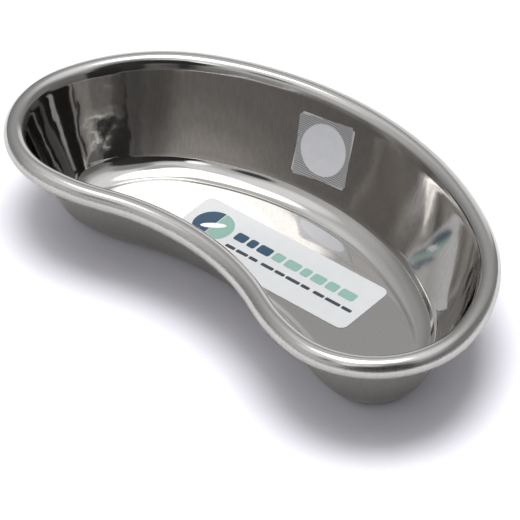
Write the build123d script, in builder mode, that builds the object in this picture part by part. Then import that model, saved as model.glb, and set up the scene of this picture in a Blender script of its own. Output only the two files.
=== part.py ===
"""Kidney dish, 200 mm: one drawn stainless sheet with a rolled rim, and its two stickers.

The rim outline is a chain of tangent arcs, mirrored about the YZ plane. Every
level of the dish is that outline moved inwards, so the sheet is one wall
section turned round the centre of each arc, closed by a flat floor panel.

Millimetres. +X is the long way, +Y is the rounded back, +Z is up. The origin
is under the middle of the dish's box, on the surface that it stands on.
"""

from build123d import *
from math import acos, asin, cos, degrees, radians, sin
import os

os.makedirs("parts", exist_ok=True)

# Driving dimensions of the dish
length = 200.0  # over the rolled rim
rim_centre_height = 35.0  # middle of the rim's crest arc above the table
sheet = 0.6  # stainless sheet thickness
wall_top_draft = 18.0  # wall lean from vertical under the rim, degrees
wall_foot_draft = 27.0  # the same above the cove, because the drawn wall is slightly hollow
crest_radius = 3.4  # rim, on the side of the bowl
roll_radius = 3.9  # rim, on the outside
roll_turn = 235.0  # how far the roll turns past the crest, degrees
cove_radius = 11.5  # inside radius between wall and floor
cove_end_slope = 15.0  # of the cove where it meets the foot, degrees

# The dish stands on a narrow flat foot round a floor panel that is pressed up
foot_width = 0.8
panel_rise = 0.3
panel_slope_width = 1.2

# Rim outline, half of it, from the middle of the back to the middle of the
# front: how far each arc turns, in degrees, and its radius
back_turn = 31.0
shoulder_turn = 47.0
end_turn = 107.0
front_turn = 18.0
shoulder_radius = 65.0
end_radius = 33.5
front_radius = 72.0

# Label on the floor panel
label_size = (80.0, 26.0)
label_corner = 3.0
label_centre = (-1.5, 1.5)
label_angle = 5.5
label_adhesive_thickness = 0.04
label_face_thickness = 0.1

# Foil seal on the inside of the back wall
seal_size = 22.0
seal_corner = 0.8
seal_swing = 8.0  # to the left of the middle, round the back arc's centre, degrees
seal_height = 19.9  # of its middle above the table
seal_tilt = 7.5
seal_adhesive_thickness = 0.04
seal_foil_thickness = 0.08

# Worked out from the above
top_lean = radians(wall_top_draft)
foot_lean = radians(wall_foot_draft)
mean_lean = (top_lean + foot_lean) / 2
foot_top = sheet  # inside of the sheet, over the foot
floor_top = panel_rise + sheet
roll_centre_height = rim_centre_height + crest_radius - roll_radius
wall_top_inset = crest_radius * cos(top_lean)
wall_top_height = rim_centre_height + crest_radius * sin(top_lean)
cove_centre_height = foot_top + cove_radius * cos(radians(cove_end_slope))
wall_foot_height = cove_centre_height - cove_radius * sin(foot_lean)
wall_chord = (wall_top_height - wall_foot_height) / cos(mean_lean)
wall_foot_inset = wall_top_inset + wall_chord * sin(mean_lean)
wall_radius = wall_chord / 2 / sin((foot_lean - top_lean) / 2)
wall_centre_inset = wall_top_inset + wall_radius * cos(top_lean)
wall_centre_height = wall_top_height + wall_radius * sin(top_lean)
cove_centre_inset = wall_foot_inset + cove_radius * cos(foot_lean)
foot_inset = cove_centre_inset - cove_radius * sin(radians(cove_end_slope))
panel_inset = foot_inset + foot_width + panel_slope_width
seal_lean = asin((wall_centre_height - seal_height) / wall_radius)
seal_inset = wall_centre_inset - wall_radius * cos(seal_lean)


def inward_normal(heading):
    """The unit vector to the left of a heading given in degrees."""
    return Vector(-sin(radians(heading)), cos(radians(heading)))


def rim_outline():
    """The left half of the rim outline, as (start, centre, radius, heading, turn) of each arc.

    It runs from the middle of the back to the middle of the front. A turn to the
    left is positive. The last arc is the hollow of the front, which turns right.
    """
    turned = radians(back_turn)
    shoulder_end = radians(back_turn + shoulder_turn)
    end_arc_reach = end_radius * (1 - sin(shoulder_end))
    shoulder_reach = shoulder_radius * (sin(shoulder_end) - sin(turned))
    back_radius = (length / 2 - roll_radius - end_arc_reach - shoulder_reach) / sin(turned)
    arcs = []
    start = Vector(0, 0)
    heading = 180.0
    for radius, turn in [
        (back_radius, back_turn),
        (shoulder_radius, shoulder_turn),
        (end_radius, end_turn),
        (front_radius, front_turn),
    ]:
        centre = start + inward_normal(heading) * radius
        arcs.append((start, centre, radius, heading, turn))
        heading += turn
        start = centre - inward_normal(heading) * radius
    hollow_turn = heading - 360
    hollow_radius = -start.X / sin(radians(hollow_turn))
    centre = start - inward_normal(heading) * hollow_radius
    arcs.append((start, centre, hollow_radius, heading, -hollow_turn))
    # slide the outline along Y so that the back and the ends' lowest points are even
    lowest_end = arcs[2][1].Y - end_radius
    middle = Vector(0, -lowest_end / 2)
    return [(at + middle, mid + middle, radius, head, turn) for at, mid, radius, head, turn in arcs]


def outline_inside(inset):
    """The whole rim outline moved inwards, as a closed line."""
    with BuildLine() as line:
        for _, centre, radius, heading, turn in outline:
            if turn > 0:
                CenterArc((centre.X, centre.Y), radius - inset, heading - 90, turn)
            else:
                CenterArc((centre.X, centre.Y), radius + inset, heading + 90, turn)
        mirror(about=Plane.YZ)
    return line.edges()


def wall_section():
    """The sheet's section from the floor panel to the end of the roll, as a closed line.

    X is the inset from the middle of the rim and Y is the height.
    """
    wall_centre = (wall_centre_inset, wall_centre_height)
    wall_bend = wall_foot_draft - wall_top_draft
    cove_centre = (cove_centre_inset, cove_centre_height)
    roll_centre = (0, roll_centre_height)
    roll_end = 90 + roll_turn
    outer_cove_radius = cove_radius + sheet
    outer_cove_end = degrees(acos(cove_centre_height / outer_cove_radius))
    with BuildLine() as line:
        # the face that shows: floor, foot, cove, wall, crest and roll
        panel_top = Polyline(
            (panel_inset, floor_top),
            (foot_inset + foot_width, foot_top),
            (foot_inset, foot_top),
        )
        cove_turn = 90 - wall_foot_draft - cove_end_slope
        CenterArc(cove_centre, cove_radius, -90 - cove_end_slope, -cove_turn)
        CenterArc(wall_centre, wall_radius, 180 + wall_foot_draft, -wall_bend)
        CenterArc((0, rim_centre_height), crest_radius, wall_top_draft, 90 - wall_top_draft)
        outer_roll = CenterArc(roll_centre, roll_radius, 90, roll_turn)
        # the same again on the other face
        inner_roll = CenterArc(roll_centre, roll_radius - sheet, roll_end, -roll_turn)
        CenterArc((0, rim_centre_height), crest_radius - sheet, 90, wall_top_draft - 90)
        CenterArc(wall_centre, wall_radius + sheet, 180 + wall_top_draft, wall_bend)
        outer_cove_turn = 90 - wall_foot_draft - outer_cove_end
        outer_cove = CenterArc(
            cove_centre, outer_cove_radius, 180 + wall_foot_draft, outer_cove_turn
        )
        panel_under = Polyline(
            outer_cove @ 1,
            (foot_inset + foot_width, 0),
            (panel_inset, panel_rise),
        )
        # the sheet's cut edge, and the join with the floor panel
        Line(outer_roll @ 1, inner_roll @ 0)
        Line(panel_under @ 1, panel_top @ 0)
    return line.edges()


def wall_layer(low, high):
    """The section of a sticker's layer, from low to high above the wall's inside, as a closed line."""
    wall_centre = (wall_centre_inset, wall_centre_height)
    reach = degrees(seal_size * 0.7 / wall_radius)
    first = 180 + degrees(seal_lean) - reach
    with BuildLine() as line:
        near = CenterArc(wall_centre, wall_radius - low, first, 2 * reach)
        far = CenterArc(wall_centre, wall_radius - high, first, 2 * reach)
        Line(near @ 0, far @ 0)
        Line(near @ 1, far @ 1)
    return line.edges()


outline = rim_outline()

with BuildPart() as basin:
    for start, centre, radius, heading, turn in outline:
        along = Vector(cos(radians(heading)), sin(radians(heading)))
        with BuildSketch(Plane(origin=start, x_dir=inward_normal(heading), z_dir=along)):
            make_face(wall_section())
        revolve(axis=Axis(centre, (0, 0, turn)), revolution_arc=abs(turn))
    mirror(about=Plane.YZ)
    with BuildSketch(Plane.XY.offset(panel_rise)):
        make_face(outline_inside(panel_inset))
    extrude(amount=sheet)

# The label lies flat on the floor panel
label_plane = Plane((*label_centre, floor_top)).rotated((0, 0, label_angle))

with BuildPart() as label_adhesive:
    with BuildSketch(label_plane):
        RectangleRounded(*label_size, label_corner)
    extrude(amount=label_adhesive_thickness)

with BuildPart() as label_face:
    with BuildSketch(label_plane.offset(label_adhesive_thickness)):
        RectangleRounded(*label_size, label_corner)
    extrude(amount=label_face_thickness)

# The seal follows the wall, which turns about the back arc's centre
back_centre = outline[0][1]
back_radius = outline[0][2]
back_axis = Axis(back_centre, (0, 0, 1))
seal_span = 20.0
seal_inward = inward_normal(180 + seal_swing)
seal_middle = back_centre - seal_inward * (back_radius - seal_inset) + Vector(0, 0, seal_height)
seal_plane = Plane(
    origin=seal_middle,
    x_dir=(-seal_inward.Y, seal_inward.X, 0),
    z_dir=seal_inward * cos(seal_lean) + Vector(0, 0, sin(seal_lean)),
).rotated((0, 0, seal_tilt))
first_heading = 180 + seal_swing - seal_span / 2
first_inward = inward_normal(first_heading)
wall_plane = Plane(
    origin=back_centre - first_inward * back_radius,
    x_dir=first_inward,
    z_dir=(first_inward.Y, -first_inward.X, 0),
)

with BuildPart() as seal_adhesive:
    with BuildSketch(wall_plane):
        make_face(wall_layer(0, seal_adhesive_thickness))
    revolve(axis=back_axis, revolution_arc=seal_span)
    with BuildSketch(seal_plane):
        RectangleRounded(seal_size, seal_size, seal_corner)
    extrude(amount=seal_size, both=True, mode=Mode.INTERSECT)

with BuildPart() as seal_foil:
    with BuildSketch(wall_plane):
        make_face(wall_layer(seal_adhesive_thickness, seal_adhesive_thickness + seal_foil_thickness))
    revolve(axis=back_axis, revolution_arc=seal_span)
    with BuildSketch(seal_plane):
        RectangleRounded(seal_size, seal_size, seal_corner)
    extrude(amount=seal_size, both=True, mode=Mode.INTERSECT)

basin.part.label = "basin"
label_adhesive.part.label = "label_adhesive"
label_face.part.label = "label_face"
seal_adhesive.part.label = "seal_adhesive"
seal_foil.part.label = "seal_foil"

export_step(basin.part, "parts/basin.step")
export_step(label_adhesive.part, "parts/label_adhesive.step")
export_step(label_face.part, "parts/label_face.step")
export_step(seal_adhesive.part, "parts/seal_adhesive.step")
export_step(seal_foil.part, "parts/seal_foil.step")
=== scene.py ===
"""Kidney dish: the looks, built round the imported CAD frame.

Metres, in the CAD's frame: +X along the dish, +Y towards its rounded back, +Z
up, and Z = 0 on the table. The steel is one section swept round the rim
outline, so that it reflects smoothly. The stickers follow the steel.
"""

from math import acos, asin, cos, pi, radians, sin

import bmesh
import bpy
import numpy as np
from mathutils import Matrix, Vector


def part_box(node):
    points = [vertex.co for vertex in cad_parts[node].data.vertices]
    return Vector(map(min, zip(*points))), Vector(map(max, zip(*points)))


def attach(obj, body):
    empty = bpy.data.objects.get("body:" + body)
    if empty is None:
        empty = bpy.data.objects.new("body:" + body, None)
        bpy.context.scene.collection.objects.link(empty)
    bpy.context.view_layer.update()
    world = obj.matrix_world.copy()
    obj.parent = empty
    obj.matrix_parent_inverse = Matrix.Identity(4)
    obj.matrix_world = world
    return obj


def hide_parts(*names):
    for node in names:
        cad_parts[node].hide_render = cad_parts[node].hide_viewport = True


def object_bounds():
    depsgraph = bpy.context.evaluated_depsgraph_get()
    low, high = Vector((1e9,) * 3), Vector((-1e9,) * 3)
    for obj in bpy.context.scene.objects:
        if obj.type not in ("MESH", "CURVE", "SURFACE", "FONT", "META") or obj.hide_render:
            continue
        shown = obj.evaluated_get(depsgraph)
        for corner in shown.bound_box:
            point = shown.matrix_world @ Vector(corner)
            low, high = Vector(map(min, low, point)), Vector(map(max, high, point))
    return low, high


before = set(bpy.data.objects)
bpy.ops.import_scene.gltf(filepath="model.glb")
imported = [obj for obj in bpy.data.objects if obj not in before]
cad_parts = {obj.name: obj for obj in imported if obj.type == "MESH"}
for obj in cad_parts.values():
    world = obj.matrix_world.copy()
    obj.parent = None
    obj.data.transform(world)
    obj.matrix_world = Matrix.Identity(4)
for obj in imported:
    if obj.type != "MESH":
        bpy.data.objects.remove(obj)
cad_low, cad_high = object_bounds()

MM = 0.001

# ---------------------------------------------------------------- dimensions

# Rim outline: (turn in degrees, radius) from the middle of the back to the
# middle of the front, one half. The first and last radii follow from the box.
ROLL_RADIUS = 3.9 * MM
CREST_RADIUS = 3.4 * MM
SHEET = 0.6 * MM
BACK_TURN = 31.0
SHOULDER = (47.0, 65.0 * MM)
END = (107.0, 33.5 * MM)
FRONT = (18.0, 72.0 * MM)

# Section of the sheet
TOP_DRAFT = radians(18.0)
FOOT_DRAFT = radians(27.0)
ROLL_TURN = radians(235.0)
COVE_RADIUS = 11.5 * MM
COVE_END_SLOPE = radians(15.0)
FOOT_WIDTH = 0.8 * MM
PANEL_RISE = 0.3 * MM
PANEL_SLOPE_WIDTH = 1.2 * MM
PANEL_BORDER = 2.0 * MM
STEP_EASE = 0.35 * MM

# Stickers: the label on the floor, and the foil seal on the wall, whose back and
# front stand above the steel
LABEL_ANGLE = radians(5.5)
INK_DEPTH = 0.02 * MM
SEAL_SIZE = 22.0 * MM
SEAL_CORNER = 0.8 * MM
SEAL_SWING = radians(8.0)
SEAL_HEIGHT = 19.9 * MM
SEAL_TILT = radians(7.5)
SEAL_BACK = 0.04 * MM
SEAL_FRONT = 0.12 * MM
SEAL_STEPS = 45
SEAL_LOOSE_PART = 0.14
SEAL_DISC = 9.2 * MM
SEAL_DISC_EDGE = 0.25 * MM
SEAL_LINE_PITCH = 0.75 * MM
SEAL_LINE_SLANT = 0.16

# Worked out from the above and from the frame's box
RIM_HEIGHT = cad_high[2] - CREST_RADIUS
ROLL_HEIGHT = cad_high[2] - ROLL_RADIUS
WALL_TOP = (CREST_RADIUS * cos(TOP_DRAFT), RIM_HEIGHT + CREST_RADIUS * sin(TOP_DRAFT))
COVE_HEIGHT = SHEET + COVE_RADIUS * cos(COVE_END_SLOPE)
WALL_BEND = FOOT_DRAFT - TOP_DRAFT
WALL_LEAN = TOP_DRAFT + WALL_BEND / 2
WALL_CHORD = (WALL_TOP[1] - COVE_HEIGHT + COVE_RADIUS * sin(FOOT_DRAFT)) / cos(WALL_LEAN)
WALL_RADIUS = WALL_CHORD / 2 / sin(WALL_BEND / 2)
WALL_CENTRE = (
    WALL_TOP[0] + WALL_RADIUS * cos(TOP_DRAFT),
    WALL_TOP[1] + WALL_RADIUS * sin(TOP_DRAFT),
)
COVE_INSET = WALL_TOP[0] + WALL_CHORD * sin(WALL_LEAN) + COVE_RADIUS * cos(FOOT_DRAFT)
FOOT_INSET = COVE_INSET - COVE_RADIUS * sin(COVE_END_SLOPE)
PANEL_INSET = FOOT_INSET + FOOT_WIDTH + PANEL_SLOPE_WIDTH
FLOOR_TOP = PANEL_RISE + SHEET


# ------------------------------------------------------------- curve helpers

def arc(centre, radius, start, turn, count):
    """Points of an arc in the plane, angles in radians."""
    angles = start + turn * np.linspace(0, 1, count)
    xs = centre[0] + radius * np.cos(angles)
    ys = centre[1] + radius * np.sin(angles)
    return np.column_stack([xs, ys])


def joined(*runs):
    """Runs of points end to end, without the doubled points between them."""
    points = [runs[0]]
    for run in runs[1:]:
        points.append(run[1:] if np.allclose(run[0], points[-1][-1], atol=1e-7) else run)
    return np.vstack(points)


def picked_from_loop(rows, marks, wanted):
    """Rows of a closed loop read off at wanted values, where marks are the rows' own values."""
    closed = np.vstack([rows, rows[:1]])
    return np.column_stack([np.interp(wanted, marks, closed[:, k]) for k in (0, 1)])


def resampled_loop(points, count):
    """A closed loop of points, evenly spaced."""
    steps = np.diff(np.vstack([points, points[:1]]), axis=0)
    lengths = np.concatenate([[0], np.cumsum(np.linalg.norm(steps, axis=1))])
    return picked_from_loop(points, lengths, np.linspace(0, lengths[-1], count, endpoint=False))


def averaged_loop(points, reach):
    """Each point of a closed loop as the mean of its neighbours, twice over."""
    for _ in range(2):
        total = points.copy()
        for shift in range(1, reach + 1):
            total += np.roll(points, shift, axis=0) + np.roll(points, -shift, axis=0)
        points = total / (2 * reach + 1)
    return points


def eased_loop(points, reach):
    """A loop whose curvature changes gradually, kept at its own size."""
    once = averaged_loop(points, reach)
    return 2 * once - averaged_loop(once, reach)


# ------------------------------------------------------------------- outline

RIM_POINTS = 560
FINE_POINTS = 2400
EASE_REACH = 22
SHARE_FOR_BENDS = 0.6


def rim_arcs():
    """The left half of the rim as (centre, radius, start angle, turn), in order."""
    turned = radians(BACK_TURN)
    shoulder_end = turned + radians(SHOULDER[0])
    reach = cad_high[0] - ROLL_RADIUS
    reach -= END[1] * (1 - sin(shoulder_end))
    reach -= SHOULDER[1] * (sin(shoulder_end) - sin(turned))
    arcs = []
    start = np.array([0.0, 0.0])
    heading = pi
    for turn, radius in [(BACK_TURN, reach / sin(turned)), SHOULDER, END, FRONT]:
        inward = np.array([-sin(heading), cos(heading)])
        centre = start + inward * radius
        arcs.append((centre, radius, heading - pi / 2, radians(turn)))
        heading += radians(turn)
        start = centre - radius * np.array([-sin(heading), cos(heading)])
    hollow = heading - 2 * pi
    radius = -start[0] / sin(hollow)
    centre = start - radius * np.array([-sin(heading), cos(heading)])
    arcs.append((centre, radius, heading + pi / 2, -hollow))
    shift = np.array([0.0, cad_high[1] - ROLL_RADIUS])
    return [(centre + shift, radius, start, turn) for centre, radius, start, turn in arcs]


def rim_path():
    """Points of the whole rim's middle line, and the inward normal at each."""
    half = joined(*[arc(*each, count=60) for each in rim_arcs()])
    whole = joined(half, half[::-1] * [-1, 1])
    points = eased_loop(resampled_loop(whole[:-1], FINE_POINTS), EASE_REACH)
    ahead = np.roll(points, -1, axis=0) - np.roll(points, 1, axis=0)
    normals = np.column_stack([-ahead[:, 1], ahead[:, 0]])
    normals = normals / np.linalg.norm(ahead, axis=1)[:, None]
    # closer together where the outline turns sharply
    bend = np.linalg.norm(np.roll(normals, -1, axis=0) - normals, axis=1)
    weight = np.cumsum(1.0 / FINE_POINTS + SHARE_FOR_BENDS * bend / bend.sum())
    wanted = np.linspace(0, weight[-1], RIM_POINTS, endpoint=False)
    index = np.arange(FINE_POINTS + 1)
    picked = np.interp(wanted, np.concatenate([[0], weight]), index)
    path = picked_from_loop(points, index, picked)
    inward = picked_from_loop(normals, index, picked)
    return path, inward / np.linalg.norm(inward, axis=1)[:, None]


# ------------------------------------------------------------------- section

CORNER_POINTS = 7
LONGEST_EASE = 0.48


def rounded(corners, radius):
    """A line through the corners, with each inner corner eased over the radius.

    The easing takes up at most a set share of each side.
    """
    points = [np.array(corners[0])]
    for before, corner, after in zip(corners, corners[1:], corners[2:]):
        corner = np.array(corner)
        back, ahead = np.array(before) - corner, np.array(after) - corner
        back_length, ahead_length = np.linalg.norm(back), np.linalg.norm(ahead)
        start = corner + back / back_length * min(radius, back_length * LONGEST_EASE)
        end = corner + ahead / ahead_length * min(radius, ahead_length * LONGEST_EASE)
        for t in np.linspace(0, 1, CORNER_POINTS):
            points.append((1 - t) ** 2 * start + 2 * t * (1 - t) * corner + t ** 2 * end)
    points.append(np.array(corners[-1]))
    return np.array(points)


def section_loop():
    """The sheet's section from the floor panel round the roll and back underneath.

    Each point is (inset from the rim's middle, height).
    """
    outer_cove = COVE_RADIUS + SHEET
    outer_cove_turn = pi / 2 - FOOT_DRAFT - acos(COVE_HEIGHT / outer_cove)
    cove = (COVE_INSET, COVE_HEIGHT)
    roll = (0.0, ROLL_HEIGHT)
    crest = (0.0, RIM_HEIGHT)
    step = FOOT_INSET + FOOT_WIDTH
    panel_middle = PANEL_INSET + PANEL_BORDER
    under = arc(cove, outer_cove, pi + FOOT_DRAFT, outer_cove_turn, 20)
    inside = joined(
        rounded([(panel_middle, FLOOR_TOP), (PANEL_INSET, FLOOR_TOP), (step, SHEET),
                 (FOOT_INSET, SHEET)], STEP_EASE),
        arc(cove, COVE_RADIUS, -pi / 2 - COVE_END_SLOPE, FOOT_DRAFT + COVE_END_SLOPE - pi / 2, 30),
        arc(WALL_CENTRE, WALL_RADIUS, pi + FOOT_DRAFT, -WALL_BEND, 10),
        arc(crest, CREST_RADIUS, TOP_DRAFT, pi / 2 - TOP_DRAFT, 16),
        arc(roll, ROLL_RADIUS, pi / 2, ROLL_TURN, 44),
    )
    outside = joined(
        arc(roll, ROLL_RADIUS - SHEET, pi / 2 + ROLL_TURN, -ROLL_TURN, 30),
        arc(crest, CREST_RADIUS - SHEET, pi / 2, TOP_DRAFT - pi / 2, 14),
        arc(WALL_CENTRE, WALL_RADIUS + SHEET, pi + TOP_DRAFT, WALL_BEND, 10),
        under,
        rounded([tuple(under[-1]), (step, 0.0), (PANEL_INSET, PANEL_RISE),
                 (panel_middle, PANEL_RISE)], STEP_EASE),
    )
    return np.vstack([inside, outside])


# -------------------------------------------------------------------- meshes

def linked_object(name, bm, materials):
    """A mesh object made from bm, in the scene."""
    mesh = bpy.data.meshes.new(name)
    bm.to_mesh(mesh)
    bm.free()
    for material in materials:
        mesh.materials.append(material)
    piece = bpy.data.objects.new(name, mesh)
    bpy.context.scene.collection.objects.link(piece)
    return piece


def new_piece(name, bm, materials, node=None):
    """A piece of the object, which rides on the frame's one body."""
    piece = linked_object(name, bm, materials)
    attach(piece, "root")
    if node:
        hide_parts(node)
    return piece


def ring_of(bm, path, inward, inset, height):
    """One ring of vertices round the outline at an inset and a height."""
    places = path + inward * inset
    return [bm.verts.new((x, y, height)) for x, y in places]


def bridge(bm, first, second, material_index):
    """Quads between two rings."""
    count = len(first)
    for k in range(count):
        after = (k + 1) % count
        face = bm.faces.new((first[k], first[after], second[after], second[k]))
        face.smooth = True
        face.material_index = material_index


def build_basin(materials):
    """The steel dish, as one closed shell: polished inside, satin from the crest outwards."""
    path, inward = rim_path()
    section = section_loop()
    crest = int(np.argmax(section[:, 1]))
    bm = bmesh.new()
    rings = [ring_of(bm, path, inward, inset, height) for inset, height in section]
    for index, (first, second) in enumerate(zip(rings, rings[1:])):
        bridge(bm, second, first, int(index >= crest))
    for ring in (rings[0], rings[-1]):
        face = bm.faces.new(ring)
        face.smooth = True
    bmesh.ops.recalc_face_normals(bm, faces=bm.faces)
    piece = new_piece("basin_steel", bm, materials, "basin")


# --------------------------------------------------------------------- print

def plate(bm, outline, bottom, top, material_index):
    """A thin closed plate with the given outline, in the label's own plane."""
    low = [bm.verts.new((x, y, bottom)) for x, y in outline]
    high = [bm.verts.new((x, y, top)) for x, y in outline]
    faces = [bm.faces.new(low[::-1]), bm.faces.new(high)]
    for k in range(len(outline)):
        after = (k + 1) % len(outline)
        faces.append(bm.faces.new((low[k], low[after], high[after], high[k])))
    for face in faces:
        face.material_index = material_index


def bar_outline(left, right, low, high, corner):
    """A rectangle with rounded corners, anticlockwise."""
    corners = [(right - corner, low + corner, -90), (right - corner, high - corner, 0),
               (left + corner, high - corner, 90), (left + corner, low + corner, 180)]
    runs = [arc((x, y), corner, radians(start), pi / 2, 6) for x, y, start in corners]
    return np.vstack(runs)


def half_disc(centre, radius, start):
    """Half a disc that begins at the given angle, in degrees."""
    return arc(centre, radius, radians(start), pi, 40)


# Rows of plain bars: (left end, middle across, height, gap, widths, ink), in millimetres
PRINT_ROWS = [
    (-19.5, 2.3, 4.2, 1.0, (4.8, 3.4, 5.6), 0),
    (-2.6, 2.3, 4.2, 1.0, (4.4, 6.2, 3.6, 5.4, 4.8, 6.6), 1),
    (-19.0, -3.8, 1.5, 0.7, (4.0, 5.0, 3.6), 2),
    (-3.2, -3.8, 1.5, 0.7, (5.4, 4.2, 6.0, 3.6), 2),
    (19.9, -3.8, 1.5, 0.7, (4.6, 6.4, 4.2), 2),
]
LARGEST_BAR_CORNER = 0.9
BADGE = (-29.0 * MM, 1.3 * MM)
BADGE_RADIUS = 7.4 * MM
BADGE_HALF_GAP = 0.15 * MM
BADGE_ELLIPSE = (4.6 * MM, 1.3 * MM)
BADGE_SLANT = radians(35)


def build_print(materials):
    """The label's printing: a plain two-tone badge and rows of bars."""
    bm = bmesh.new()
    for left, across, height, gap, widths, ink in PRINT_ROWS:
        corner = min(LARGEST_BAR_CORNER, height * 0.3)
        low, high = across - height / 2, across + height / 2
        for width in widths:
            bar = bar_outline(left, left + width, low, high, corner)
            plate(bm, bar * MM, 0, INK_DEPTH, ink)
            left += width + gap
    x, y = BADGE
    plate(bm, half_disc((x - BADGE_HALF_GAP, y), BADGE_RADIUS, 90), 0, INK_DEPTH, 0)
    plate(bm, half_disc((x + BADGE_HALF_GAP, y), BADGE_RADIUS, -90), 0, INK_DEPTH, 1)
    ellipse = arc((0, 0), 1.0, 0, 2 * pi, 49)[:-1] * BADGE_ELLIPSE
    slant = np.array([[cos(BADGE_SLANT), sin(BADGE_SLANT)], [-sin(BADGE_SLANT), cos(BADGE_SLANT)]])
    plate(bm, ellipse @ slant + [x, y], INK_DEPTH, 2 * INK_DEPTH, 3)
    box_low, box_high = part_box("label_face")
    middle_x, middle_y = (box_low[0] + box_high[0]) / 2, (box_low[1] + box_high[1]) / 2
    place = Matrix.Translation((middle_x, middle_y, box_high[2]))
    turn = Matrix.Rotation(LABEL_ANGLE, 4, "Z")
    bmesh.ops.transform(bm, matrix=place @ turn, verts=bm.verts)
    piece = new_piece("label_print", bm, materials)


# ---------------------------------------------------------------------- seal

def seal_place():
    """The seal's own axes as a matrix: x along the wall, y up it, z out of it."""
    centre, radius, _, _ = rim_arcs()[0]
    inward = Vector((sin(SEAL_SWING), -cos(SEAL_SWING), 0))
    lean = asin((WALL_CENTRE[1] - SEAL_HEIGHT) / WALL_RADIUS)
    inset = WALL_CENTRE[0] - WALL_RADIUS * cos(lean)
    middle = Vector((*centre, SEAL_HEIGHT)) - inward * (radius - inset)
    normal = inward * cos(lean) + Vector((0, 0, sin(lean)))
    along = Vector((-inward.y, inward.x, 0))
    axes = Matrix((along, normal.cross(along), normal)).transposed().to_4x4()
    return Matrix.Translation(middle) @ axes @ Matrix.Rotation(SEAL_TILT, 4, "Z")


def on_wall(point, outward, depth):
    """A point moved along outward until it stands a given depth above the wall's inside."""
    centre, radius, _, _ = rim_arcs()[0]
    point = point.copy()
    # a few rounds are enough for it to settle
    for _ in range(6):
        inset = radius - (point.xy - Vector(centre)).length
        reach = Vector((WALL_CENTRE[0] - inset, WALL_CENTRE[1] - point.z)).length
        point += outward * (depth - WALL_RADIUS + reach)
    return point


def seal_point(u, v):
    """A point of the seal's square, u and v from -1 to 1, with its corners rounded."""
    half = SEAL_SIZE / 2
    reach = max(abs(u), abs(v))
    if reach == 0:
        return 0.0, 0.0
    x, y = abs(u) / reach * half, abs(v) / reach * half
    inner = half - SEAL_CORNER
    scale = 1.0
    if x > inner and y > inner:
        # where the ray from the middle meets the corner's arc
        ray = Vector((x, y)).normalized()
        along = ray.dot(Vector((inner, inner)))
        across = Vector((inner, inner)).length_squared - along ** 2
        scale = (along + (SEAL_CORNER ** 2 - across) ** 0.5) / Vector((x, y)).length
    return u * half * scale, v * half * scale


def seal_lift(u, v):
    """How far the front of the seal stands up, at its crinkled left edge only."""
    loose = max(0.0, -u - (1 - SEAL_LOOSE_PART)) / SEAL_LOOSE_PART
    return loose ** 2 * (0.10 + 0.08 * sin(v * 23) + 0.05 * sin(v * 51 + 1)) * MM


def seal_layer(bm, depth, lifted):
    """A grid of vertices that follows the wall at a depth above it."""
    place = seal_place()
    outward = (place.to_3x3() @ Vector((0, 0, 1))).normalized()
    steps = np.linspace(-1, 1, SEAL_STEPS)
    rows = []
    for v in steps:
        row = []
        for u in steps:
            lift = seal_lift(u, v) if lifted else 0.0
            flat = place @ Vector((*seal_point(u, v), 0))
            row.append(bm.verts.new(on_wall(flat, outward, depth + lift)))
        rows.append(row)
    return rows


def build_seal(material):
    """The foil seal, a thin sheet that follows the wall."""
    bm = bmesh.new()
    back = seal_layer(bm, SEAL_BACK, lifted=False)
    front = seal_layer(bm, SEAL_FRONT, lifted=True)
    last = SEAL_STEPS - 1
    for j in range(last):
        for k in range(last):
            corners = [(j, k), (j, k + 1), (j + 1, k + 1), (j + 1, k)]
            bm.faces.new([front[row][column] for row, column in corners]).smooth = True
            turned = [corners[0], *corners[:0:-1]]
            bm.faces.new([back[row][column] for row, column in turned]).smooth = True
        bm.faces.new((front[j][0], front[j + 1][0], back[j + 1][0], back[j][0]))
        bm.faces.new((front[j + 1][last], front[j][last], back[j][last], back[j + 1][last]))
        bm.faces.new((front[0][j + 1], front[0][j], back[0][j], back[0][j + 1]))
        bm.faces.new((front[last][j], front[last][j + 1], back[last][j + 1], back[last][j]))
    bmesh.ops.recalc_face_normals(bm, faces=bm.faces)
    piece = new_piece("seal_foil_sheet", bm, [material], "seal_foil")
    piece.data.set_sharp_from_angle(angle=radians(40))


# ----------------------------------------------------------------- node help

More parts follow.
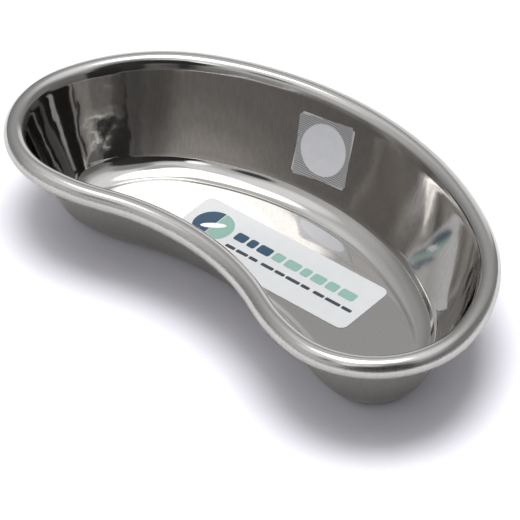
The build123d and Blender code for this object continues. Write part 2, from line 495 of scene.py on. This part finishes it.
class Nodes:
    """Short names for making and joining the nodes of one tree."""

    def __init__(self, tree):
        self.tree = tree

    def add(self, kind, **settings):
        node = self.tree.nodes.new(kind)
        for key, value in settings.items():
            setattr(node, key, value)
        return node

    def join(self, source, target):
        self.tree.links.new(source, target)

    def parts(self, vector):
        """The X, Y and Z of a vector."""
        node = self.add("ShaderNodeSeparateXYZ")
        self.join(vector, node.inputs[0])
        return node.outputs

    def bump(self, strength, distance, height, normal=None):
        """A normal that leans with the slope of a height, over another normal."""
        node = self.add("ShaderNodeBump")
        node.inputs["Strength"].default_value = strength
        node.inputs["Distance"].default_value = distance
        self.join(height, node.inputs["Height"])
        if normal is not None:
            self.join(normal, node.inputs["Normal"])
        return node.outputs[0]

    def fill(self, socket, value):
        """Join a socket to another socket, or set it to a plain value."""
        if isinstance(value, bpy.types.NodeSocket):
            self.join(value, socket)
        else:
            socket.default_value = value

    def math(self, operation, first, second=0.0, third=None):
        node = self.add("ShaderNodeMath", operation=operation)
        self.fill(node.inputs[0], first)
        self.fill(node.inputs[1], second)
        if third is not None:
            self.fill(node.inputs[2], third)
        return node.outputs[0]

    def ramp(self, value, low, high, to_low=0.0, to_high=1.0):
        """A value that eases from one level to another."""
        node = self.add("ShaderNodeMapRange", interpolation_type="SMOOTHSTEP")
        self.fill(node.inputs["Value"], value)
        self.fill(node.inputs["From Min"], low)
        self.fill(node.inputs["From Max"], high)
        self.fill(node.inputs["To Min"], to_low)
        self.fill(node.inputs["To Max"], to_high)
        return node.outputs["Result"]

    def mix(self, factor, first, second):
        """A colour between two colours."""
        return self.mixed("RGBA", factor, first, second)

    def mix_value(self, factor, first, second):
        """A number between two numbers."""
        return self.mixed("FLOAT", factor, first, second)

    def mixed(self, data_type, factor, first, second):
        node = self.add("ShaderNodeMix", data_type=data_type)
        self.fill(node.inputs["Factor"], factor)
        self.fill(node.inputs["A"], first)
        self.fill(node.inputs["B"], second)
        return node.outputs["Result"]


# ----------------------------------------------------------------- materials

# Stainless steel: colours (R, G, B, 1) where the drawing streaks are light and dark
BARE_LIGHT = (0.71, 0.708, 0.70, 1)
BARE_DARK = (0.69, 0.688, 0.68, 1)
# the wall colours are painted shade: the same steel as the bare parts, made darker and warmer to
# stand in for the dim reflections on the walls
SHADED_WALL_LIGHT = (0.54, 0.52, 0.505, 1)
SHADED_WALL_DARK = (0.485, 0.47, 0.455, 1)
POLISHED = 0.03
CREST_ROUGHNESS = 0.11
SATIN = 0.34
STREAK_ROUGHNESS = 0.035
CLOUD_ROUGHNESS = 0.03
RIPPLE_DEPTH = 0.18 * MM
STREAK_DEPTH = 0.2 * MM


def new_material(name):
    """A material, its shader and a helper for its nodes."""
    material = bpy.data.materials.new(name)
    material.use_nodes = True
    shader = material.node_tree.nodes["Principled BSDF"]
    return material, shader, Nodes(material.node_tree)


def noise(nodes, place, scale, detail):
    """A noise value at a place, scale in waves per metre."""
    node = nodes.add("ShaderNodeTexNoise")
    nodes.join(place, node.inputs["Vector"])
    node.inputs["Scale"].default_value = scale
    node.inputs["Detail"].default_value = detail
    return node.outputs["Fac"]


def object_place(nodes):
    return nodes.add("ShaderNodeTexCoord").outputs["Object"]


def steel_material(name, side_roughness):
    """Stainless sheet: mirror-like in the bowl, softer on the crest, and as given on its sides."""
    material, shader, nodes = new_material(name)
    shader.inputs["Metallic"].default_value = 1.0
    place = object_place(nodes)
    across, _, height = nodes.parts(place)
    upward = nodes.parts(nodes.add("ShaderNodeNewGeometry").outputs["Normal"])["Z"]

    # where the surface is: the rim, the outside, and the wall between floor and rim
    rim = nodes.ramp(height, RIM_HEIGHT - 1 * MM, RIM_HEIGHT + 2 * MM)
    outside = nodes.ramp(upward, 0.1, -0.1)
    inside = nodes.math("SUBTRACT", 1.0, outside)
    softer = nodes.math("MAXIMUM", rim, outside)
    above_cove = nodes.ramp(height, 3 * MM, 7 * MM)
    wall = nodes.math("MULTIPLY", above_cove, nodes.math("SUBTRACT", 1.0, rim))

    # fine drawing streaks that run up the walls, and soft cloudy wear
    stretch = nodes.add("ShaderNodeMapping")
    stretch.inputs["Scale"].default_value = (1, 1, 0.02)
    nodes.join(place, stretch.inputs["Vector"])
    streaks = noise(nodes, stretch.outputs[0], 900.0, 3.0)
    cloud = noise(nodes, place, 70.0, 4.0)

    sideways = nodes.ramp(upward, 0.85, 0.25)
    satin = nodes.math("MULTIPLY", softer, sideways)
    crest = nodes.mix_value(softer, POLISHED, CREST_ROUGHNESS)
    polish = nodes.mix_value(satin, crest, side_roughness)
    grain = nodes.math("MULTIPLY_ADD", streaks, STREAK_ROUGHNESS, polish)
    worn = nodes.math("MULTIPLY_ADD", cloud, CLOUD_ROUGHNESS, grain)
    nodes.join(worn, shader.inputs["Roughness"])

    # the walls, inside and out, take the darker steel colour: painted shade over the streak tones
    light = nodes.mix(wall, BARE_LIGHT, SHADED_WALL_LIGHT)
    dark = nodes.mix(wall, BARE_DARK, SHADED_WALL_DARK)
    tone = nodes.ramp(streaks, 0.3, 0.7)
    nodes.join(nodes.mix(tone, dark, light), shader.inputs["Base Color"])

    # shallow unevenness of pressed sheet, which bends the reflections, more at the two ends
    ends = nodes.ramp(nodes.math("ABSOLUTE", across), 50 * MM, 85 * MM)
    dented = nodes.math("MULTIPLY", nodes.math("MULTIPLY", ends, inside), 1.3)
    dents = nodes.math("MULTIPLY", noise(nodes, place, 85.0, 1.5), dented)
    waves = nodes.math("ADD", noise(nodes, place, 38.0, 1.0), dents)
    ripple = nodes.bump(1.0, RIPPLE_DEPTH, nodes.math("MULTIPLY", waves, wall))
    brushing = nodes.math("MULTIPLY", streaks, above_cove)
    brushed = nodes.bump(0.04, STREAK_DEPTH, brushing, ripple)
    nodes.join(brushed, shader.inputs["Normal"])
    return material


def film_material():
    """White printed film: slightly mottled, semi-gloss."""
    material, shader, nodes = new_material("label_film")
    place = object_place(nodes)
    mottle = noise(nodes, place, 260.0, 5.0)
    colour = nodes.mix(mottle, (0.515, 0.532, 0.542, 1), (0.565, 0.58, 0.59, 1))
    nodes.join(colour, shader.inputs["Base Color"])
    nodes.join(nodes.ramp(mottle, 0.2, 0.8, 0.12, 0.20), shader.inputs["Roughness"])
    shader.inputs["IOR"].default_value = 1.6
    bumped = nodes.bump(0.12, 0.1 * MM, noise(nodes, place, 900.0, 2.0))
    nodes.join(bumped, shader.inputs["Normal"])
    return material


def ink_material(name, light, dark):
    """Printed ink: near-even colour, a little uneven where it took to the film."""
    material, shader, nodes = new_material(name)
    grain = noise(nodes, object_place(nodes), 1600.0, 3.0)
    nodes.join(nodes.mix(grain, (*dark, 1), (*light, 1)), shader.inputs["Base Color"])
    nodes.join(nodes.ramp(grain, 0.2, 0.8, 0.34, 0.46), shader.inputs["Roughness"])
    return material


def adhesive_material():
    """Clear-drying glue, seen only as a thin edge: pale and slightly cloudy."""
    material, shader, nodes = new_material("dried_adhesive")
    cloud = noise(nodes, object_place(nodes), 700.0, 3.0)
    colour = nodes.mix(cloud, (0.50, 0.49, 0.46, 1), (0.62, 0.61, 0.58, 1))
    nodes.join(colour, shader.inputs["Base Color"])
    nodes.join(nodes.ramp(cloud, 0.2, 0.8, 0.35, 0.55), shader.inputs["Roughness"])
    return material


def foil_material():
    """Matt silver foil: a plain disc in the middle and fine ruled lines round it."""
    material, shader, nodes = new_material("silver_foil")
    place = object_place(nodes)
    local = nodes.add("ShaderNodeMapping", vector_type="TEXTURE")
    nodes.join(place, local.inputs["Vector"])
    seal = seal_place()
    local.inputs["Location"].default_value = seal.translation
    local.inputs["Rotation"].default_value = seal.to_euler()
    x, y, _ = nodes.parts(local.outputs[0])
    far = nodes.math("ADD", nodes.math("MULTIPLY", x, x), nodes.math("MULTIPLY", y, y))
    far = nodes.math("SQRT", far)
    outside = nodes.ramp(far, SEAL_DISC, SEAL_DISC + SEAL_DISC_EDGE)
    slant = nodes.math("MULTIPLY_ADD", x, SEAL_LINE_SLANT, y)
    wave = nodes.math("SINE", nodes.math("MULTIPLY", slant, 2 * pi / SEAL_LINE_PITCH))
    lines = nodes.math("MULTIPLY", nodes.ramp(wave, -0.6, 0.8), outside)
    cloud = noise(nodes, place, 420.0, 4.0)
    plain = nodes.mix(cloud, (0.80, 0.81, 0.86, 1), (0.90, 0.91, 0.95, 1))
    ruled = nodes.mix(lines, (0.74, 0.74, 0.76, 1), (0.36, 0.36, 0.38, 1))
    nodes.join(nodes.mix(outside, plain, ruled), shader.inputs["Base Color"])
    nodes.join(nodes.mix_value(outside, 0.42, 0.30), shader.inputs["Roughness"])
    nodes.join(nodes.mix_value(outside, 0.40, 0.75), shader.inputs["Metallic"])
    crinkle = nodes.math("MULTIPLY_ADD", noise(nodes, place, 150.0, 2.0), 1.5, lines)
    nodes.join(nodes.bump(0.5, 0.05 * MM, crinkle), shader.inputs["Normal"])
    return material


def plain_material(name, colour, roughness):
    """An even matt surface, for the set only."""
    material, shader, _ = new_material(name)
    shader.inputs["Base Color"].default_value = (*colour, 1)
    shader.inputs["Roughness"].default_value = roughness
    return material


# -------------------------------------------------------- camera, set, light

# A turn is in degrees from +Y to +X, as on a compass, and a lift in degrees above level
CAMERA_TURN = 134.75
CAMERA_LIFT = 40.33
CAMERA_DISTANCE = 1.4856
CAMERA_TARGET = Vector((0.0066, -0.01397, 0.016))
FOCAL_LENGTH = 303.9
FLOOR_RADIUS = 8.0
BACKDROP_RADIUS = 7.9


def towards(turn, lift):
    """The unit vector towards a turn and a lift, in degrees."""
    turn, lift = radians(turn), radians(lift)
    return Vector((sin(turn) * cos(lift), cos(turn) * cos(lift), sin(lift)))


def add_camera():
    """The photographer's view, from in front and to the right."""
    away = towards(CAMERA_TURN, CAMERA_LIFT)
    camera = bpy.data.objects.new("camera", bpy.data.cameras.new("camera"))
    camera.data.sensor_width = 36
    camera.data.lens = FOCAL_LENGTH
    camera.data.clip_end = 50
    camera.location = CAMERA_TARGET + away * CAMERA_DISTANCE
    camera.rotation_euler = away.to_track_quat("Z", "Y").to_euler()
    bpy.context.scene.collection.objects.link(camera)
    bpy.context.scene.camera = camera


def staged(name, bm, material):
    """A piece of the set, which isn't part of the object."""
    piece = linked_object(name, bm, [material])
    return piece


def glow_material(name, colour, strength):
    """A surface that shines evenly, for the set only."""
    material = bpy.data.materials.new(name)
    material.use_nodes = True
    nodes = Nodes(material.node_tree)
    material.node_tree.nodes.clear()
    glow = nodes.add("ShaderNodeEmission")
    glow.inputs["Color"].default_value = (*colour, 1)
    glow.inputs["Strength"].default_value = strength
    nodes.join(glow.outputs[0], nodes.add("ShaderNodeOutputMaterial").inputs["Surface"])
    return material


def only_seen_by_camera(piece):
    piece.visible_glossy = False
    piece.visible_diffuse = False
    piece.visible_shadow = False
    piece.visible_transmission = False


def add_floor():
    """The white floor that the camera sees, and a greyer one below it that the steel mirrors."""
    bm = bmesh.new()
    bmesh.ops.create_circle(bm, cap_ends=True, radius=FLOOR_RADIUS, segments=96)
    under = bm.copy()
    bmesh.ops.translate(under, verts=under.verts, vec=(0, 0, -0.2 * MM))
    white = plain_material("floor_white", (0.875, 0.875, 0.945), 0.9)
    only_seen_by_camera(staged("floor", bm, white))
    grey = plain_material("floor_grey", (0.72, 0.72, 0.74), 0.9)
    mirrored = staged("floor_mirrored", under, grey)
    mirrored.visible_camera = False


def add_backdrop():
    """A white dome that only the camera sees, so that low views have a plain background."""
    bm = bmesh.new()
    bmesh.ops.create_uvsphere(bm, u_segments=64, v_segments=32, radius=BACKDROP_RADIUS)
    white = glow_material("backdrop_pale", (1.0, 1.0, 1.0), 1.0)
    only_seen_by_camera(staged("backdrop", bm, white))


# The studio that the steel mirrors. Levels: (lift, brightness), from the floor up.
# Patches, laid over each other in this order:
# (turn, lift, half-width of the full patch, half-width where it ends, brightness)
SKY_LEVELS = [(0, 0.20), (20, 0.28), (40, 0.38), (48, 0.50), (58, 0.78), (70, 0.9)]
SKY_PATCHES = [
    (-165, 40, 20, 48, 0.55),
    (-150, 54, 8, 18, 0.9),
    (-34, 10, 15, 24, 0.8),
    (36, 20, 12, 34, 0.21),
    (72, 14, 12, 24, 0.17),
    (105, 54, 8, 16, 0.3),
    (118, 27, 19, 25, 0.04),
    (142, 25, 16, 24, 0.03),
    (101, 10, 9, 12, 0.03),
    (135, 3, 6, 14, 0.16),
    (160, 58, 8, 18, 0.85),
    (145, 74, 8, 16, 0.5),
    (-64, 66, 6, 14, 0.6),
    (-118, 71, 5, 11, 2.6),
    (0, 88, 9, 16, 3.2),
    (-165, 79, 6, 16, 3.4),
    (184, 36, 4, 8, 0.06),
    (162, 41, 3, 7, 1.5),
]
SKY_COLOUR = (1.0, 0.99, 0.98, 1)
SKY_ON_MATT = 1.04


def add_world():
    """A studio that is bright overhead, grey at the sides and dark towards the camera."""
    world = bpy.data.worlds.new("studio")
    bpy.context.scene.world = world
    world.use_nodes = True
    nodes = Nodes(world.node_tree)
    background = world.node_tree.nodes["Background"]
    direction = nodes.add("ShaderNodeTexCoord").outputs["Generated"]
    upward = nodes.parts(direction)["Z"]
    level = SKY_LEVELS[0][1]
    for (low, before), (high, after) in zip(SKY_LEVELS, SKY_LEVELS[1:]):
        step = nodes.ramp(upward, sin(radians(low)), sin(radians(high)), 0.0, after - before)
        level = nodes.math("ADD", level, step)
    for turn, lift, inner, outer, brightness in SKY_PATCHES:
        dot = nodes.add("ShaderNodeVectorMath", operation="DOT_PRODUCT")
        nodes.join(direction, dot.inputs[0])
        dot.inputs[1].default_value = towards(turn, lift)
        amount = nodes.ramp(dot.outputs["Value"], cos(radians(outer)), cos(radians(inner)))
        level = nodes.mix_value(amount, level, brightness)
    # matt surfaces see it a little brighter, which sets how deep the shadow is
    matt = nodes.add("ShaderNodeLightPath").outputs["Is Diffuse Ray"]
    level = nodes.math("MULTIPLY", level, nodes.mix_value(matt, 1.0, SKY_ON_MATT))
    nodes.join(level, background.inputs["Strength"])
    background.inputs["Color"].default_value = SKY_COLOUR


def add_lamp(turn, lift, width, strength):
    """The big soft lamp overhead. The sky's bright patches stand for it in the steel."""
    lamp = bpy.data.lights.new("softbox", "SUN")
    lamp.angle = radians(width)
    lamp.energy = strength
    softbox = bpy.data.objects.new("softbox", lamp)
    softbox.rotation_euler = towards(turn, lift).to_track_quat("Z", "Y").to_euler()
    softbox.location = towards(turn, lift) * 2
    softbox.visible_glossy = False
    bpy.context.scene.collection.objects.link(softbox)


def finish_node(node, material):
    """Give a carried-over CAD node its material."""
    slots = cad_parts[node].data.materials
    slots.clear()
    slots.append(material)


# --------------------------------------------------------------------- scene

build_basin([
    steel_material("polished_steel", POLISHED),
    steel_material("satin_steel", SATIN),
])
build_seal(foil_material())
build_print([
    ink_material("ink_navy", (0.030, 0.075, 0.125), (0.018, 0.050, 0.090)),
    ink_material("ink_teal", (0.235, 0.385, 0.335), (0.200, 0.345, 0.295)),
    ink_material("ink_black", (0.050, 0.058, 0.072), (0.030, 0.036, 0.048)),
    ink_material("ink_white", (0.78, 0.79, 0.80), (0.72, 0.73, 0.74)),
])
finish_node("label_face", film_material())
finish_node("label_adhesive", adhesive_material())
finish_node("seal_adhesive", adhesive_material())
add_camera()
add_floor()
add_backdrop()
add_world()
add_lamp(turn=-50, lift=82, width=34, strength=2.15)
bpy.context.scene.view_settings.view_transform = "Standard"
